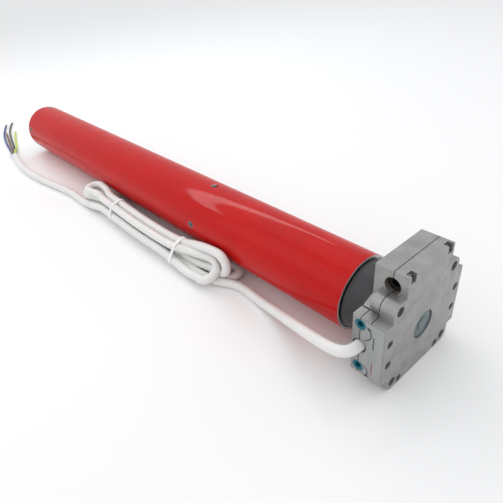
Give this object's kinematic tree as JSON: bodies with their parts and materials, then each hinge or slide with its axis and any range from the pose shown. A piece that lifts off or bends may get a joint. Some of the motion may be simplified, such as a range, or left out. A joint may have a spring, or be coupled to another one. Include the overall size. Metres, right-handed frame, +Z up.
{
  "type": "roller shutter motor",
  "caption": "Tubular roller shutter motor in a red steel tube, with a limit crown, a cast head with a manual crank drive and limit screws, and a hanked mains cord.",
  "frame": {"origin": "centre of the head's front mounting face, on the tube axis, amid the four mounting holes", "axes": "+X out of the head's front face along the tube axis, +Y to the right seen from the tube's far end looking at the head, +Z up towards the crank block"},
  "size_m": [0.7601, 0.1133, 0.089],
  "materials": {
    "zinc_casting": "bare die-cast zinc alloy, satin, tumbled",
    "steel": "machined steel, lightly oiled",
    "black_steel": "blackened spring steel",
    "screw_steel": "dark plated screws",
    "shaft_steel": "zinc plated steel",
    "bearing_steel": "ground bearing steel",
    "bronze": "sintered bronze",
    "silver_label": null,
    "black_plastic": "black moulded nylon",
    "crown_plastic": "dark grey moulded nylon",
    "grey_rubber": "dark rubber",
    "white_pvc": "white PVC sheath, soft gloss",
    "tie_white": "white plastic twist tie",
    "core_blue": "blue core insulation",
    "core_brown": "brown core insulation",
    "core_black": "black core insulation",
    "core_earth": "yellow and green core insulation",
    "bare_copper": "bare copper strands",
    "nylon": "natural nylon",
    "limit_blue": "teal blue plastic",
    "red_paint": "glossy red powder coat",
    "bare_steel_edge": "cut tube edge",
    "aluminium_part": "machined aluminium",
    "capacitor_can": "capacitor can",
    "lamination": "varnished steel laminations",
    "copper_wire": "enamelled copper windings",
    "brake_lining": "brake lining on a steel hub"
  },
  "bodies": {
    "head": {"head_housing": "zinc_casting", "head_cover": "zinc_casting", "housing_sleeve": "steel", "crown_circlip": "black_steel", "limit_gear_plate": "steel", "flank_screws": "screw_steel", "cover_screws": "screw_steel", "limit_box_rear_shell": "zinc_casting", "limit_box_front_shell": "zinc_casting", "limit_label": "silver_label", "upper_limit_switch": "black_plastic", "lower_limit_switch": "black_plastic", "cord_gland": "grey_rubber", "worm_bushes": "bronze", "hub_front_bush": "bronze", "cord_lead": "white_pvc", "cord_hank": "white_pvc", "cord_tail": "white_pvc", "cord_ties": "tie_white", "cord_cores": "core_blue"},
    "crown": {"crown_ring": "crown_plastic"},
    "limit_pinion": {"limit_pinion": "nylon"},
    "upper_counter": {"upper_counter_gear": "nylon"},
    "lower_counter": {"lower_counter_gear": "nylon"},
    "upper_adjuster": {"upper_limit_screw": "limit_blue"},
    "lower_adjuster": {"lower_limit_screw": "limit_blue"},
    "crank": {"crank_worm": "steel"},
    "motor": {"worm_wheel": "bronze", "hub_shaft": "shaft_steel", "motor_tube": "red_paint", "tube_screws": "screw_steel", "tube_adapter": "aluminium_part", "capacitor": "capacitor_can", "capacitor_holder": "black_plastic", "motor_front_bell": "aluminium_part", "motor_rear_bell": "aluminium_part", "motor_bearings": "bearing_steel", "stator_core": "lamination", "stator_windings": "copper_wire", "brake_magnet": "steel", "brake_armature": "steel", "brake_spring": "bearing_steel", "gearbox_ring": "steel", "output_bearings": "bearing_steel", "output_end_cap": "aluminium_part"},
    "rotor": {"rotor_shaft": "steel", "rotor_core": "lamination", "brake_disc": "brake_lining"},
    "carrier_1": {"carrier_1": "steel"},
    "carrier_2": {"carrier_2": "steel"},
    "output": {"output_shaft": "shaft_steel"},
    "planet_1a": {"planet_1a": "nylon"},
    "planet_1b": {"planet_1b": "nylon"},
    "planet_1c": {"planet_1c": "nylon"},
    "planet_2a": {"planet_2a": "steel"},
    "planet_2b": {"planet_2b": "steel"},
    "planet_2c": {"planet_2c": "steel"},
    "planet_3a": {"planet_3a": "steel"},
    "planet_3b": {"planet_3b": "steel"},
    "planet_3c": {"planet_3c": "steel"}
  },
  "joints": [
    {"name": "crown_turn", "type": "hinge", "parent": "head", "child": "crown", "pos_m": [-0.0356, 0, 0], "axis": [1, 0, 0], "continuous": true},
    {"name": "limit_pinion_turn", "type": "hinge", "parent": "head", "child": "limit_pinion", "pos_m": [-0.028, -0.0192, 0], "axis": [1, 0, 0], "continuous": true},
    {"name": "upper_counter_turn", "type": "hinge", "parent": "head", "child": "upper_counter", "pos_m": [-0.019, -0.022, 0.01372], "axis": [1, 0, 0], "continuous": true},
    {"name": "lower_counter_turn", "type": "hinge", "parent": "head", "child": "lower_counter", "pos_m": [-0.019, -0.022, -0.01372], "axis": [1, 0, 0], "continuous": true},
    {"name": "upper_limit_turn", "type": "hinge", "parent": "head", "child": "upper_adjuster", "pos_m": [-0.0184, -0.04, 0.018], "axis": [0, 1, 0], "continuous": true},
    {"name": "lower_limit_turn", "type": "hinge", "parent": "head", "child": "lower_adjuster", "pos_m": [-0.0184, -0.04, -0.018], "axis": [0, 1, 0], "continuous": true},
    {"name": "motor_turn", "type": "hinge", "parent": "head", "child": "motor", "pos_m": [-0.03, 0, 0], "axis": [1, 0, 0], "continuous": true},
    {"name": "crank_turn", "type": "hinge", "parent": "head", "child": "crank", "pos_m": [-0.0105, 0, 0.0414], "axis": [0, 1, 0], "continuous": true},
    {"name": "output_turn", "type": "hinge", "parent": "motor", "child": "output", "pos_m": [-0.57, 0, 0], "axis": [1, 0, 0], "continuous": true},
    {"name": "rotor_turn", "type": "hinge", "parent": "motor", "child": "rotor", "pos_m": [-0.3, 0, 0], "axis": [1, 0, 0], "continuous": true},
    {"name": "carrier_1_turn", "type": "hinge", "parent": "motor", "child": "carrier_1", "pos_m": [-0.462, 0, 0], "axis": [1, 0, 0], "continuous": true},
    {"name": "carrier_2_turn", "type": "hinge", "parent": "motor", "child": "carrier_2", "pos_m": [-0.49, 0, 0], "axis": [1, 0, 0], "continuous": true},
    {"name": "planet_1a_turn", "type": "hinge", "parent": "carrier_1", "child": "planet_1a", "pos_m": [-0.452, 0.015, 0], "axis": [1, 0, 0], "continuous": true},
    {"name": "planet_1b_turn", "type": "hinge", "parent": "carrier_1", "child": "planet_1b", "pos_m": [-0.452, -0.0075, 0.01299], "axis": [1, 0, 0], "continuous": true},
    {"name": "planet_1c_turn", "type": "hinge", "parent": "carrier_1", "child": "planet_1c", "pos_m": [-0.452, -0.0075, -0.01299], "axis": [1, 0, 0], "continuous": true},
    {"name": "planet_2a_turn", "type": "hinge", "parent": "carrier_2", "child": "planet_2a", "pos_m": [-0.476, 0.015, 0], "axis": [1, 0, 0], "continuous": true},
    {"name": "planet_2b_turn", "type": "hinge", "parent": "carrier_2", "child": "planet_2b", "pos_m": [-0.476, -0.0075, 0.01299], "axis": [1, 0, 0], "continuous": true},
    {"name": "planet_2c_turn", "type": "hinge", "parent": "carrier_2", "child": "planet_2c", "pos_m": [-0.476, -0.0075, -0.01299], "axis": [1, 0, 0], "continuous": true},
    {"name": "planet_3a_turn", "type": "hinge", "parent": "output", "child": "planet_3a", "pos_m": [-0.51, 0.015, 0], "axis": [1, 0, 0], "continuous": true},
    {"name": "planet_3b_turn", "type": "hinge", "parent": "output", "child": "planet_3b", "pos_m": [-0.51, -0.0075, 0.01299], "axis": [1, 0, 0], "continuous": true},
    {"name": "planet_3c_turn", "type": "hinge", "parent": "output", "child": "planet_3c", "pos_m": [-0.51, -0.0075, -0.01299], "axis": [1, 0, 0], "continuous": true}
  ],
  "couplings": [
    {"joint": "limit_pinion_turn", "follows": "crown_turn", "ratio": 5},
    {"joint": "upper_counter_turn", "follows": "crown_turn", "ratio": -1.6667},
    {"joint": "lower_counter_turn", "follows": "crown_turn", "ratio": -1.6667},
    {"joint": "crank_turn", "follows": "motor_turn", "ratio": 68},
    {"joint": "rotor_turn", "follows": "output_turn", "ratio": 125},
    {"joint": "carrier_1_turn", "follows": "output_turn", "ratio": 25},
    {"joint": "carrier_2_turn", "follows": "output_turn", "ratio": 5},
    {"joint": "planet_1a_turn", "follows": "output_turn", "ratio": -66.667},
    {"joint": "planet_1b_turn", "follows": "output_turn", "ratio": -66.667},
    {"joint": "planet_1c_turn", "follows": "output_turn", "ratio": -66.667},
    {"joint": "planet_2a_turn", "follows": "output_turn", "ratio": -13.333},
    {"joint": "planet_2b_turn", "follows": "output_turn", "ratio": -13.333},
    {"joint": "planet_2c_turn", "follows": "output_turn", "ratio": -13.333},
    {"joint": "planet_3a_turn", "follows": "output_turn", "ratio": -2.6667},
    {"joint": "planet_3b_turn", "follows": "output_turn", "ratio": -2.6667},
    {"joint": "planet_3c_turn", "follows": "output_turn", "ratio": -2.6667}
  ]
}
